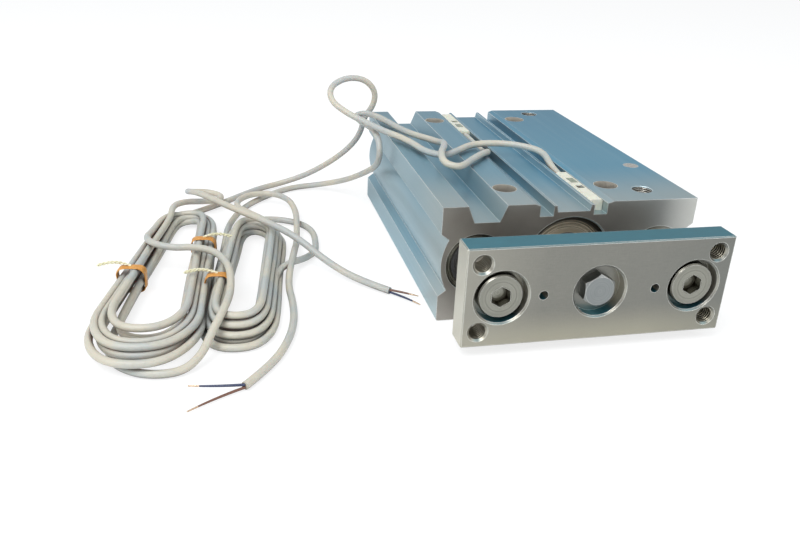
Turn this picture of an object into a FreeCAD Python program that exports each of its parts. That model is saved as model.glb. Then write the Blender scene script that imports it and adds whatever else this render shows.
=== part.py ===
"""Guided pneumatic cylinder: a bore and two guide bores in one extruded body, with an end plate
carried by the piston rod and two guide rods, and two position switches with coiled leads.

Frame: +X across, +Y from the plate to the rear, +Z up. The origin is the centre of the four
threaded mounting holes, on the underside. Millimetres.
"""

import FreeCAD, Part

import math
import os
import re

import Sketcher

V = FreeCAD.Vector

# ---------------------------------------------------------------- driving dimensions

SIZES = [
    ("stroke", 125, "full travel of the plate"),
    ("rest_extension", 11.5, "how far the plate stands out at rest"),
    ("retracted_gap", 10, "body to plate, fully in"),
    ("ends_length", 44, "body length beyond the stroke"),
    ("body_width", 120, "across"),
    ("body_height", 54, "underside to top"),
    ("bore_size", 40, "cylinder bore"),
    ("rod_size", 16, "piston rod"),
    ("guide_size", 20, "guide rods"),
    ("guide_inset", 17, "each side to a guide rod's axis"),
    ("hole_spacing", 50, "mounting holes, across"),
    ("hole_pitch", 124, "mounting holes, lengthwise"),
    ("front_hole_inset", 22, "front face to the first mounting hole"),
    ("hole_size", 6.6, "mounting through-hole"),
    ("counterbore_size", 11, "mounting hole counterbore"),
    ("counterbore_depth", 7.5, "its depth"),
    ("tap_size", 6.8, "tapping size of the M8 threads"),
    ("base_thread_depth", 20, "thread from the underside"),
    ("corner_chamfer", 0.6, "long lower corners"),
    ("channel_offset", 11.4, "left side to the trapezoid channel"),
    ("channel_mouth", 17.6, "channel width at the top"),
    ("channel_floor", 11.5, "channel width at its floor"),
    ("channel_depth", 7.6, "channel depth"),
    ("switch_offset", 12.7, "centreline to a switch groove"),
    ("groove_width", 6.3, "switch groove"),
    ("groove_depth", 5.9, "switch groove"),
    ("lip_width", 1.4, "rib between groove and middle"),
    ("lip_drop", 1.2, "rib top below the deck"),
    ("deck_slope", 2.6, "width of the slope down to a groove"),
    ("deck_drop", 1, "drop of that slope"),
    ("middle_drop", 4.1, "recessed middle below the deck"),
    ("middle_slope", 0.6, "slope at each side of the middle"),
    ("side_step", 14.7, "axis height to the side's outer edge"),
    ("side_notch", 12, "axis height to the side's notch"),
    ("notch_depth", 3.6, "depth of the side notches"),
    ("side_round", 25.5, "radius of the side's bulge"),
    ("slot_inset", 24, "each side to a base T-slot's middle"),
    ("slot_mouth", 6.5, "T-slot mouth"),
    ("slot_width", 10.5, "T-slot inside"),
    ("slot_lip", 5, "T-slot lip"),
    ("slot_depth", 9.5, "T-slot, whole"),
    ("port_inset", 20.5, "right side to the air ports"),
    ("front_port_inset", 14, "front face to the front port"),
    ("rear_port_inset", 10, "rear face to the rear port"),
    ("port_size", 8.6, "port tapping size"),
    ("port_mouth", 9.7, "port mouth"),
    ("port_depth", 9, "port depth"),
    ("passage_size", 2.4, "drilled air passages"),
    ("passage_tilt", 25, "slope of the air passages, degrees"),
    ("plug_size", 7.4, "passage plug"),
    ("plug_side_inset", 7.5, "right side to the plug"),
    ("plug_inset", 50, "front face to the plug"),
    ("plug_length", 5, "passage plug"),
    ("cover_inset", 2, "end faces to the retaining rings"),
    ("ring_thickness", 1.75, "bore retaining rings"),
    ("ring_grip", 1.3, "ring depth into the body"),
    ("ring_width", 3.2, "radial width of the retaining rings"),
    ("ring_opening", 9, "gap in a retaining ring"),
    ("lug_size", 6, "lugs at the gap"),
    ("lug_hole", 2, "plier holes in the lugs"),
    ("head_collar", 7.75, "head cover part that fills the bore"),
    ("head_boss", 5.25, "head cover boss inside it"),
    ("rear_collar", 4.5, "rear cover part that fills the bore"),
    ("rear_boss", 2.75, "rear cover boss"),
    ("boss_relief", 4, "boss radius short of the bore"),
    ("bore_chamfer", 0.6, "mouth of each bore"),
    ("oring_section", 2.4, "cover O-rings"),
    ("seal_groove", 1.9, "depth of the O-ring grooves"),
    ("running_gap", 0.03, "radial clearance of the sliding fits"),
    ("free_gap", 0.15, "radial clearance of parts that don't guide"),
    ("end_gap", 0.25, "left at each end of the stroke"),
    ("bumper_thickness", 1.5, "rubber bumpers"),
    ("bumper_size", 27, "outside"),
    ("piston_seal_width", 2.6, "piston seal"),
    ("magnet_width", 4.2, "magnet ring"),
    ("wear_ring_width", 2.4, "wear ring"),
    ("piston_groove", 3.4, "depth of the piston's grooves"),
    ("piston_bolt_head", 13, "head across"),
    ("piston_bolt_height", 5, "head height"),
    ("bolt_core", 8, "M8 screws of rod and piston"),
    ("thread_reach", 18, "screw length into a rod"),
    ("rod_bush_wall", 1.5, "rod bush"),
    ("rod_seal_wall", 3.5, "rod seal, radially"),
    ("rod_seal_width", 3.4, "rod seal, along the rod"),
    ("guide_tail", 5, "rear face to the guide rods' ends, fully in"),
    ("bush_wall", 2.5, "guide bushes"),
    ("bush_length", 16, "guide bushes"),
    ("bush_inset", 6.5, "front face to the first bush"),
    ("bush_gap", 5, "between the two bushes of a rod"),
    ("guide_mouth", 28.4, "recess round a guide rod"),
    ("guide_mouth_depth", 3.2, "its depth"),
    ("guide_ring_hole", 22.8, "hole of the ring in that recess"),
    ("guide_ring_thickness", 1.6, "that ring"),
    ("wiper_inset", 0.8, "front face to the guide wiper's lip"),
    ("plate_inset", 1, "side of the body to the side of the end plate"),
    ("plate_height", 44, "end plate"),
    ("plate_thickness", 12, "end plate"),
    ("plate_chamfer", 0.5, "end plate edges"),
    ("plate_hole_inset", 7, "edges of the plate to its corner holes"),
    ("thread_chamfer", 1.1, "mouths of the plate's threads"),
    ("pin_spacing", 50, "plate dowel holes"),
    ("pin_size", 4, "plate dowel holes"),
    ("pin_depth", 8, "plate dowel holes"),
    ("hex_recess", 22.6, "recess of the rod bolt"),
    ("hex_recess_depth", 5.6, "its depth"),
    ("hex_flats", 13, "rod bolt across flats"),
    ("hex_height", 5.3, "rod bolt head"),
    ("recess_chamfer", 0.75, "mouths of the plate's recesses"),
    ("guide_recess", 23, "recess of a guide bolt"),
    ("guide_recess_depth", 7, "its depth"),
    ("guide_head", 19.4, "guide bolt head across"),
    ("guide_head_height", 6, "guide bolt head"),
    ("guide_bolt_core", 10, "M10 guide bolts"),
    ("socket_flats", 8, "guide bolt socket across flats"),
    ("socket_depth", 4.5, "guide bolt socket"),
    ("switch_length", 40, "switch, along the groove"),
    ("switch_width", 5.9, "switch case"),
    ("switch_height", 5.1, "switch case"),
    ("front_switch_inset", 5, "front face to the front switch"),
    ("rear_switch_inset", 5, "rear face to the rear switch"),
    ("window_length", 7, "clear window"),
    ("window_width", 3.6, "clear window"),
    ("window_place", 24, "closed end to the window"),
    ("window_depth", 1.4, "its seat in the case"),
    ("screw_place", 18, "closed end to the clamp screw"),
    ("screw_size", 3.2, "clamp screw"),
    ("screw_length", 3.5, "clamp screw"),
    ("case_chamfer", 0.5, "upper edges of a switch case"),
    ("lead_size", 3.4, "switch leads"),
    ("core_size", 1.1, "the cores inside a lead"),
]

doc = FreeCAD.newDocument("GuidedCylinder")
sheet = doc.addObject("Spreadsheet::Sheet", "Sizes")
for row, (alias, number, meaning) in enumerate(SIZES, start=1):
    sheet.set(f"A{row}", meaning)
    sheet.set(f"B{row}", str(number))
    sheet.setAlias(f"B{row}", alias)
doc.recompute()

ALIASES = {alias for alias, _, _ in SIZES}

# Places along Y, as expressions of the sizes. Inner places are those of the fully retracted rod.
FRONT = "(-front_hole_inset - hole_pitch / 2)"
REAR = f"({FRONT} + stroke + ends_length)"
AXIS = "(body_height / 2)"
HEAD_SEAT = f"({FRONT} + cover_inset + ring_thickness)"
HEAD_INNER = f"({HEAD_SEAT} + head_collar + head_boss)"
REAR_SEAT = f"({REAR} - cover_inset - ring_thickness)"
REAR_INNER = f"({REAR_SEAT} - rear_collar - rear_boss)"
ROD_SHIFT = "(-rest_extension)"
PLATE_BACK = f"({FRONT} - retracted_gap + {ROD_SHIFT})"
PLATE_FRONT = f"({PLATE_BACK} - plate_thickness)"
PISTON_LENGTH = f"({REAR_INNER} - {HEAD_INNER} - stroke - 2 * end_gap - 2 * bumper_thickness)"
PISTON_BACK = f"({REAR_INNER} - end_gap - bumper_thickness + {ROD_SHIFT})"
PISTON_FRONT = f"({PISTON_BACK} - {PISTON_LENGTH})"
PISTON_LAND = f"(({PISTON_LENGTH} - piston_seal_width - magnet_width - wear_ring_width) / 4)"
BOLT_SEAT = f"({PISTON_BACK} - piston_bolt_height - end_gap)"


def size(text):
    """The number that an expression of the sizes gives."""
    return float(sheet.evalExpression(text))


def tied(text):
    """The same expression as another object of the document reads it."""
    return re.sub(r"[a-z_]+", lambda word: "Sizes." + word[0] if word[0] in ALIASES else word[0], text)


def tie(thing, prop, text):
    thing.setExpression(prop, tied(text))


# ---------------------------------------------------------------- building blocks


def new_body(label, at=("0", "0", "0")):
    body = doc.addObject("PartDesign::Body", label)
    for axis, text in zip("xyz", at):
        tie(body, f"Placement.Base.{axis}", text)
    return body


def new_sketch(body, plane, offset=("0", "0", "0")):
    """A sketch on one of the body's own origin planes; offset is in the sketch's own axes."""
    sketch = body.newObject("Sketcher::SketchObject", body.Name + "_sketch")
    support = [part for part in body.Origin.OriginFeatures if part.Role == plane][0]
    sketch.AttachmentSupport = [(support, "")]
    sketch.MapMode = "FlatFace"
    for axis, text in zip("xyz", offset):
        tie(sketch, f"AttachmentOffset.Base.{axis}", text)
    return sketch


def pin_point(sketch, index, vertex, x, y):
    for kind, text in (("DistanceX", x), ("DistanceY", y)):
        number = sketch.addConstraint(Sketcher.Constraint(kind, -1, 1, index, vertex, size(text)))
        tie(sketch, f"Constraints[{number}]", text)


def outline(sketch, points):
    """Closes one outline. A point is (x, y), or (x, y, radius, side) when an arc leaves it."""
    spots = [V(size(p[0]), size(p[1]), 0) for p in points]
    base = sketch.GeometryCount
    count = len(points)
    ends = []
    for number, point in enumerate(points):
        start, end = spots[number], spots[(number + 1) % count]
        if len(point) == 2:
            sketch.addGeometry(Part.LineSegment(start, end), False)
            ends.append((1, 2))
            continue
        radius = size(point[2])
        chord = end - start
        left = V(-chord.y, chord.x, 0).normalize()
        reach = math.sqrt(radius**2 - (chord.Length / 2) ** 2)
        centre = (start + end) / 2 - left * point[3] * reach
        circle = Part.Circle(centre, V(0, 0, 1), radius)
        first, last = (start, end) if point[3] < 0 else (end, start)
        angles = [math.atan2(spot.y - centre.y, spot.x - centre.x) for spot in (first, last)]
        sketch.addGeometry(Part.ArcOfCircle(circle, *angles), False)
        ends.append((1, 2) if point[3] < 0 else (2, 1))
        turn = sketch.addConstraint(Sketcher.Constraint("Radius", base + number, radius))
        tie(sketch, f"Constraints[{turn}]", point[2])
    for number in range(count):
        after = (number + 1) % count
        sketch.addConstraint(
            Sketcher.Constraint("Coincident", base + number, ends[number][1], base + after, ends[after][0])
        )
        pin_point(sketch, base + number, ends[number][0], *points[number][:2])
    return sketch


def circles(sketch, spots, diameter):
    for x, y in spots:
        centre = V(size(x), size(y), 0)
        index = sketch.addGeometry(Part.Circle(centre, V(0, 0, 1), size(diameter) / 2), False)
        pin_point(sketch, index, 3, x, y)
        number = sketch.addConstraint(Sketcher.Constraint("Diameter", index, size(diameter)))
        tie(sketch, f"Constraints[{number}]", diameter)
    return sketch


def hexagon(sketch, flats):
    """A regular hexagon about the sketch's origin, two flats upright."""
    corner = f"({flats}) / sqrt(3)"
    across = f"({flats}) / 2"
    return outline(
        sketch,
        [
            ("0", corner),
            (f"-{across}", f"{corner} / 2"),
            (f"-{across}", f"-{corner} / 2"),
            ("0", f"-{corner}"),
            (across, f"-{corner} / 2"),
            (across, f"{corner} / 2"),
        ],
    )


def pad(body, sketch, length, backwards=False):
    feature = body.newObject("PartDesign::Pad", body.Name + "_pad")
    feature.Profile = sketch
    tie(feature, "Length", length)
    feature.Reversed = backwards
    doc.recompute()
    return feature


def pocket(body, sketch, length, backwards=False):
    before = body.Tip.Shape.Volume
    feature = body.newObject("PartDesign::Pocket", body.Name + "_pocket")
    feature.Profile = sketch
    tie(feature, "Length", length)
    feature.Reversed = backwards
    doc.recompute()
    if feature.Shape.Volume > before - 0.01:
        raise RuntimeError(body.Name + ": a pocket cuts nothing")
    return feature


def groove(body, points, plane="XY_Plane", offset=("0", "0", "0")):
    """A round cut about the upright axis of a sketch; points are (radius, place on the axis)."""
    sketch = outline(new_sketch(body, plane, offset), points)
    before = body.Tip.Shape.Volume
    feature = body.newObject("PartDesign::Groove", body.Name + "_groove")
    feature.Profile = sketch
    feature.ReferenceAxis = (sketch, ["V_Axis"])
    feature.Angle = 360
    doc.recompute()
    if feature.Shape.Volume > before - 0.01:
        raise RuntimeError(body.Name + ": a groove cuts nothing")
    return feature


def turned(label, points, at=("0", "0", AXIS)):
    """A part turned about an axis along Y; points are (radius, place along Y)."""
    body = new_body(label, at)
    sketch = outline(new_sketch(body, "XY_Plane"), points)
    feature = body.newObject("PartDesign::Revolution", label + "_turn")
    feature.Profile = sketch
    feature.ReferenceAxis = (sketch, ["V_Axis"])
    feature.Angle = 360
    doc.recompute()
    return body


def sleeve(label, inner, outer, start, length, at=("0", "0", AXIS)):
    end = f"({start} + {length})"
    return turned(label, [(inner, start), (outer, start), (outer, end), (inner, end)], at)


def cylinder(label, diameter, length, at):
    """An upright plain cylinder standing at a point."""
    part = doc.addObject("Part::Cylinder", label)
    tie(part, "Radius", f"({diameter}) / 2")
    tie(part, "Height", length)
    for axis, text in zip("xyz", at):
        tie(part, f"Placement.Base.{axis}", text)
    return part


# ---------------------------------------------------------------- the extruded body

SIDES = (("left", "-"), ("right", ""))


def extrusion_outline():
    """The section of the extrusion, anticlockwise from the lower left corner."""
    edge = "body_width / 2"
    points = [(f"-{edge} + corner_chamfer", "0")]
    for sign in ("-", ""):
        centre = f"{sign}(body_width / 2 - slot_inset)"
        points += [
            (f"{centre} - slot_mouth / 2", "0"),
            (f"{centre} - slot_mouth / 2", "slot_lip"),
            (f"{centre} - slot_width / 2", "slot_lip"),
            (f"{centre} - slot_width / 2", "slot_depth"),
            (f"{centre} + slot_width / 2", "slot_depth"),
            (f"{centre} + slot_width / 2", "slot_lip"),
            (f"{centre} + slot_mouth / 2", "slot_lip"),
            (f"{centre} + slot_mouth / 2", "0"),
        ]
    points += [
        (f"{edge} - corner_chamfer", "0"),
        (edge, "corner_chamfer"),
        (edge, f"{AXIS} - side_step"),
        (f"{edge} - notch_depth", f"{AXIS} - side_notch", "side_round", -1),
        (f"{edge} - notch_depth", f"{AXIS} + side_notch"),
        (edge, f"{AXIS} + side_step"),
        (edge, "body_height"),
    ]
    outer = "switch_offset + groove_width / 2"
    inner = "switch_offset - groove_width / 2"
    right = [
        (f"{outer} + deck_slope", "body_height"),
        (outer, "body_height - deck_drop"),
        (outer, "body_height - groove_depth"),
        (inner, "body_height - groove_depth"),
        (inner, "body_height - lip_drop"),
        (f"{inner} - lip_width", "body_height - lip_drop"),
        (f"{inner} - lip_width - middle_slope", "body_height - middle_drop"),
    ]
    points += right + [(f"-({x})", z) for x, z in reversed(right)]
    middle = f"(-{edge} + channel_offset + channel_mouth / 2)"
    points += [
        (f"{middle} + channel_mouth / 2", "body_height"),
        (f"{middle} + channel_floor / 2", "body_height - channel_depth"),
        (f"{middle} - channel_floor / 2", "body_height - channel_depth"),
        (f"{middle} - channel_mouth / 2", "body_height"),
        (f"-{edge}", "body_height"),
        (f"-{edge}", f"{AXIS} + side_step"),
        (f"-{edge} + notch_depth", f"{AXIS} + side_notch", "side_round", -1),
        (f"-{edge} + notch_depth", f"{AXIS} - side_notch"),
        (f"-{edge}", f"{AXIS} - side_step"),
        (f"-{edge}", "corner_chamfer"),
    ]
    return points


def cut_bores(body):
    wall, ring = "bore_size / 2", "(bore_size / 2 + ring_grip)"
    groove(
        body,
        [
            ("0", FRONT),
            (f"{wall} + bore_chamfer", FRONT),
            (wall, f"{FRONT} + bore_chamfer"),
            (wall, f"{FRONT} + cover_inset"),
            (ring, f"{FRONT} + cover_inset"),
            (ring, HEAD_SEAT),
            (wall, HEAD_SEAT),
            (wall, REAR_SEAT),
            (ring, REAR_SEAT),
            (ring, f"{REAR} - cover_inset"),
            (wall, f"{REAR} - cover_inset"),
            (wall, f"{REAR} - bore_chamfer"),
            (f"{wall} + bore_chamfer", REAR),
            ("0", REAR),
        ],
        offset=("0", "0", AXIS),
    )
    wall = "(guide_size / 2 + bush_wall)"
    for _, sign in SIDES:
        groove(
            body,
            [
                ("0", FRONT),
                ("guide_mouth / 2", FRONT),
                ("guide_mouth / 2", f"{FRONT} + guide_mouth_depth"),
                (wall, f"{FRONT} + guide_mouth_depth"),
                (wall, f"{REAR} - bore_chamfer"),
                (f"{wall} + bore_chamfer", REAR),
                ("0", REAR),
            ],
            offset=(f"{sign}(body_width / 2 - guide_inset)", "0", AXIS),
        )


def cut_mounting_holes(body):
    spots = [
        (f"{x}hole_spacing / 2", f"{y}hole_pitch / 2") for x in ("-", "") for y in ("-", "")
    ]
    top = ("0", "0", "body_height")
    pocket(body, circles(new_sketch(body, "XY_Plane", top), spots, "hole_size"), "body_height")
    bore = circles(new_sketch(body, "XY_Plane", top), spots, "counterbore_size")
    pocket(body, bore, "counterbore_depth")
    thread = circles(new_sketch(body, "XY_Plane"), spots, "tap_size")
    pocket(body, thread, "base_thread_depth", backwards=True)


def cut_ports(body):
    """Two threaded ports in the top, each drilled on down to its end of the bore."""
    across = "(body_width / 2 - port_inset)"
    for place in (f"({FRONT} + front_port_inset)", f"({REAR} - rear_port_inset)"):
        groove(
            body,
            [
                ("0", "body_height"),
                ("port_mouth / 2", "body_height"),
                ("port_size / 2", "body_height - (port_mouth - port_size) / 2"),
                ("port_size / 2", "body_height - port_depth"),
                ("0", "body_height - port_depth - port_size / 8"),
            ],
            plane="XZ_Plane",
            offset=(across, "0", f"-{place}"),
        )
        drill = body.newObject("PartDesign::SubtractiveCylinder", "passage")
        drill.Placement = FreeCAD.Placement(V(0, 0, 0), FreeCAD.Rotation(V(0, 1, 0), -90))
        tie(drill, "Placement.Rotation.Angle", "270 deg - passage_tilt * 1 deg")
        tie(drill, "Radius", "passage_size / 2")
        tie(drill, "Height", f"{across} / cos(passage_tilt * 1 deg) - bore_size / 2 + passage_size")
        tie(drill, "Placement.Base.x", across)
        tie(drill, "Placement.Base.y", place)
        tie(drill, "Placement.Base.z", "body_height - port_depth + passage_size / 2")
        doc.recompute()


def make_cylinder_body():
    body = new_body("cylinder_body")
    section = outline(new_sketch(body, "XZ_Plane", ("0", "0", f"-{FRONT}")), extrusion_outline())
    pad(body, section, "stroke + ends_length", backwards=True)
    cut_bores(body)
    cut_mounting_holes(body)
    cut_ports(body)
    spot = [("body_width / 2 - plug_side_inset", f"{FRONT} + plug_inset")]
    seat = circles(new_sketch(body, "XY_Plane", ("0", "0", "body_height")), spot, "plug_size")
    pocket(body, seat, "plug_length")
    cylinder("passage_plug", "plug_size", "plug_length", (*spot[0], "body_height - plug_length"))


# ---------------------------------------------------------------- covers, seals, rings


def collar(seat, inwards, length, boss):
    """The outside of a cover from its outer face inwards, with its O-ring groove."""
    wall, floor = "bore_size / 2", "(bore_size / 2 - seal_groove)"
    middle = f"({seat} {inwards} {length} / 2)"
    ends = [f"({middle} {inwards} {side} * oring_section * 0.6)" for side in ("-1", "1")]
    face = f"({seat} {inwards} {length})"
    back = f"({face} {inwards} {boss})"
    narrow = "(bore_size / 2 - boss_relief)"
    return [
        (wall, seat),
        (wall, ends[0]),
        (floor, ends[0]),
        (floor, ends[1]),
        (wall, ends[1]),
        (wall, face),
        (narrow, face),
        (narrow, back),
    ]


def squeezed_ring(label, middle):
    """An O-ring flattened between its groove and the bore."""
    wall, floor = "bore_size / 2", "(bore_size / 2 - seal_groove)"
    low, high = f"({middle} - oring_section / 4)", f"({middle} + oring_section / 4)"
    half = "oring_section / 2"
    turned(label, [(floor, low, half, -1), (wall, low), (wall, high, half, -1), (floor, high)])


def make_covers():
    bush = "(rod_size / 2 + running_gap + rod_bush_wall)"
    bush_start = f"({HEAD_SEAT} + 2 * rod_seal_width)"
    relief = "(rod_size / 2 + rod_bush_wall / 2)"
    seal = "(rod_size / 2 + rod_seal_wall)"
    seal_end = f"({HEAD_SEAT} + rod_seal_width)"
    turned(
        "head_cover",
        collar(HEAD_SEAT, "+", "head_collar", "head_boss")
        + [
            (bush, HEAD_INNER),
            (bush, bush_start),
            (relief, bush_start),
            (relief, seal_end),
            (seal, seal_end),
            (seal, HEAD_SEAT),
        ],
    )
    sleeve("rod_bush", "rod_size / 2 + running_gap", bush, bush_start, f"({HEAD_INNER} - {bush_start})")
    slide = "(rod_size / 2 + running_gap)"
    turned(
        "rod_seal",
        [
            (slide, f"{HEAD_SEAT} + rod_seal_width / 4"),
            (f"{slide} + free_gap", HEAD_SEAT),
            (seal, HEAD_SEAT),
            (seal, seal_end),
            (f"{slide} + free_gap", seal_end),
            (slide, f"{seal_end} - rod_seal_width / 4"),
        ],
    )
    rear = collar(REAR_SEAT, "-", "rear_collar", "rear_boss")
    turned("rear_cover", [("0", REAR_SEAT)] + rear + [("0", REAR_INNER)])
    squeezed_ring("head_cover_oring", f"({HEAD_SEAT} + head_collar / 2)")
    squeezed_ring("rear_cover_oring", f"({REAR_SEAT} - rear_collar / 2)")


def retaining_ring(label, start):
    """A sprung ring with a gap and two lugs, lying in its groove from start along +Y."""
    body = new_body(label, ("0", start, AXIS))
    outer, inner = "(bore_size / 2 + ring_grip)", "(bore_size / 2 + ring_grip - ring_width)"
    ring = circles(new_sketch(body, "XZ_Plane"), [("0", "0")], f"2 * {outer}")
    circles(ring, [("0", "0")], f"2 * {inner}")
    pad(body, ring, "ring_thickness", backwards=True)
    lug_x, lug_z = "(ring_opening / 2 + lug_size / 2 - 0.5)", f"-({inner} - lug_size / 3)"
    lugs = circles(new_sketch(body, "XZ_Plane"), [(f"-{lug_x}", lug_z), (lug_x, lug_z)], "lug_size")
    pad(body, lugs, "ring_thickness", backwards=True)
    reach = f"({outer} + 1)"
    gap = outline(
        new_sketch(body, "XZ_Plane"),
        [
            ("-ring_opening / 2", "0"),
            ("-ring_opening / 2", f"-{reach}"),
            ("ring_opening / 2", f"-{reach}"),
            ("ring_opening / 2", "0"),
        ],
    )
    pocket(body, gap, "ring_thickness")
    holes = circles(new_sketch(body, "XZ_Plane"), [(f"-{lug_x}", lug_z), (lug_x, lug_z)], "lug_hole")
    pocket(body, holes, "ring_thickness")


def make_guides():
    for side, sign in SIDES:
        at = (f"{sign}(body_width / 2 - guide_inset)", "0", AXIS)
        slide, wall = "(guide_size / 2 + running_gap)", "(guide_size / 2 + bush_wall)"
        first = f"({FRONT} + bush_inset)"
        second = f"({first} + bush_length + bush_gap)"
        sleeve("front_guide_bush_" + side, slide, wall, first, "bush_length", at)
        sleeve("inner_guide_bush_" + side, slide, wall, second, "bush_length", at)
        floor = f"({FRONT} + guide_mouth_depth)"
        start = f"({floor} - guide_ring_thickness)"
        ring_hole = "(guide_ring_hole / 2)"
        sleeve("guide_ring_" + side, ring_hole, "guide_mouth / 2", start, "guide_ring_thickness", at)
        lip = f"({FRONT} + wiper_inset)"
        turned(
            "guide_wiper_" + side,
            [
                (slide, lip),
                (f"{ring_hole} - free_gap", lip),
                (ring_hole, f"{lip} + free_gap"),
                (ring_hole, floor),
                (wall, floor),
                (wall, first),
                (slide, first),
            ],
            at,
        )
        tail = f"({REAR} - guide_tail + {ROD_SHIFT})"
        turned("guide_rod_" + side, rod_profile("guide_size", "guide_bolt_core", PLATE_BACK, tail, False), at)


# ---------------------------------------------------------------- the moving parts


def rod_profile(diameter, core, front, back, bored_behind):
    """A rod with a threaded hole in its front end, and one in its rear end if bored_behind."""
    edge, hole = f"({diameter} / 2)", f"({core} / 2 + free_gap)"
    reach = f"(thread_reach + {core} / 4)"
    points = [(hole, front), (edge, front)]
    if bored_behind:
        points += [(edge, back), (hole, back), (hole, f"{back} - {reach}"), ("0", f"{back} - {reach}")]
    else:
        points += [(edge, f"{back} - bore_chamfer"), (f"{edge} - bore_chamfer", back), ("0", back)]
    return points + [("0", f"{front} + {reach}"), (hole, f"{front} + {reach}")]


def make_piston():
    turned("piston_rod", rod_profile("rod_size", "bolt_core", PLATE_BACK, PISTON_FRONT, True))
    edge, floor = "(bore_size / 2 - free_gap)", "(bore_size / 2 - piston_groove)"
    hole, head = "(bolt_core / 2 + free_gap)", "(piston_bolt_head / 2 + 2 * free_gap)"
    points = [(hole, PISTON_FRONT)]
    place = PISTON_FRONT
    slide = "(bore_size / 2 - running_gap)"
    rings = (
        ("piston_seal", "piston_seal_width", slide),
        ("piston_magnet", "magnet_width", edge),
        ("piston_wear_ring", "wear_ring_width", slide),
    )
    points.append((edge, place))
    for label, width, outside in rings:
        start = f"({place} + {PISTON_LAND})"
        end = f"({start} + {width})"
        points += [(edge, start), (floor, start), (floor, end), (edge, end)]
        sleeve(label, floor, outside, start, width)
        place = end
    points += [(edge, PISTON_BACK), (head, PISTON_BACK), (head, BOLT_SEAT), (hole, BOLT_SEAT)]
    turned("piston", points)
    rod = "(rod_size / 2 + free_gap)"
    start = f"({PISTON_FRONT} - bumper_thickness)"
    sleeve("front_bumper", rod, "bumper_size / 2", start, "bumper_thickness")
    sleeve("rear_bumper", head, "bumper_size / 2", PISTON_BACK, "bumper_thickness")
    bolt = new_body("piston_bolt", ("0", BOLT_SEAT, AXIS))
    screw(bolt, "piston_bolt_head", "piston_bolt_height", "bolt_core", "thread_reach", backwards=True)


def screw(body, head, height, core, reach, backwards=False):
    """A socket head screw seated at y = 0, its shank along +Y, or -Y if backwards."""
    sign = "-" if backwards else ""
    other = "" if backwards else "-"
    sketch = outline(
        new_sketch(body, "XY_Plane"),
        [
            ("0", f"{sign}({reach})"),
            (f"{core} / 2 - free_gap", f"{sign}({reach})"),
            (f"{core} / 2", f"{sign}({reach} - free_gap)"),
            (f"{core} / 2", "0"),
            (f"{head} / 2", "0"),
            (f"{head} / 2", f"{other}({height} - bore_chamfer)"),
            (f"{head} / 2 - bore_chamfer", f"{other}{height}"),
            ("0", f"{other}{height}"),
        ],
    )
    turn = body.newObject("PartDesign::Revolution", body.Name + "_turn")
    turn.Profile = sketch
    turn.ReferenceAxis = (sketch, ["V_Axis"])
    turn.Angle = 360
    doc.recompute()
    place = ("0", "0", f"-({other}{height})" if not backwards else f"-{height}")
    socket = hexagon(new_sketch(body, "XZ_Plane", place), f"{core} * 0.8")
    pocket(body, socket, f"{height} * 0.7", backwards=backwards)


def plate_hole(body, x, z, points):
    groove(body, points, offset=(x, "0", z))


def make_plate():
    """The end plate, from y = 0 at its front face, and the bolts that hold the rods to it."""
    body = new_body("end_plate", ("0", PLATE_FRONT, AXIS))
    wide, high = "(body_width / 2 - plate_inset)", "(plate_height / 2)"
    face = outline(
        new_sketch(body, "XZ_Plane"),
        [(f"-{wide}", f"-{high}"), (wide, f"-{high}"), (wide, high), (f"-{wide}", high)],
    )
    block = pad(body, face, "plate_thickness", backwards=True)
    bevel = body.newObject("PartDesign::Chamfer", "end_plate_chamfer")
    bevel.Base = (block, [f"Edge{number}" for number in range(1, 13)])
    tie(bevel, "Size", "plate_chamfer")
    doc.recompute()
    thread = [
        ("0", "0"),
        ("tap_size / 2 + thread_chamfer", "0"),
        ("tap_size / 2", "thread_chamfer"),
        ("tap_size / 2", "plate_thickness - thread_chamfer"),
        ("tap_size / 2 + thread_chamfer", "plate_thickness"),
        ("0", "plate_thickness"),
    ]
    pin = [("0", "0"), ("pin_size / 2", "0"), ("pin_size / 2", "pin_depth"), ("0", "pin_depth + pin_size / 6")]
    for _, x in SIDES:
        for z in ("-", ""):
            plate_hole(body, f"{x}({wide} - plate_hole_inset)", f"{z}({high} - plate_hole_inset)", thread)
        plate_hole(body, f"{x}pin_spacing / 2", "0", pin)
        plate_hole(body, f"{x}(body_width / 2 - guide_inset)", "0", recess("guide_recess", "guide_recess_depth", "guide_bolt_core"))
    plate_hole(body, "0", "0", recess("hex_recess", "hex_recess_depth", "bolt_core"))


def recess(across, depth, core):
    hole = f"({core} / 2 + free_gap)"
    return [
        ("0", "0"),
        (f"{across} / 2 + recess_chamfer", "0"),
        (f"{across} / 2", "recess_chamfer"),
        (f"{across} / 2", depth),
        (hole, depth),
        (hole, "plate_thickness"),
        ("0", "plate_thickness"),
    ]


def make_plate_bolts():
    for side, sign in SIDES:
        seat = (f"{sign}(body_width / 2 - guide_inset)", f"{PLATE_FRONT} + guide_recess_depth", AXIS)
        bolt = new_body("guide_bolt_" + side, seat)
        reach = "(plate_thickness - guide_recess_depth + thread_reach)"
        screw(bolt, "guide_head", "guide_head_height", "guide_bolt_core", reach)
    body = new_body("rod_bolt", ("0", f"{PLATE_FRONT} + hex_recess_depth - hex_height", AXIS))
    pad(body, hexagon(new_sketch(body, "XZ_Plane"), "hex_flats"), "hex_height", backwards=True)
    shank = circles(new_sketch(body, "XZ_Plane", ("0", "0", "-hex_height")), [("0", "0")], "bolt_core")
    pad(body, shank, "plate_thickness - hex_recess_depth + thread_reach", backwards=True)
    corner = "hex_flats / sqrt(3)"
    groove(
        body,
        [
            ("hex_flats / 2 * 0.97", "0"),
            (f"{corner} + bore_chamfer", "0"),
            (f"{corner} + bore_chamfer", "bore_chamfer * 2"),
        ],
    )


# ---------------------------------------------------------------- position switches


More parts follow.
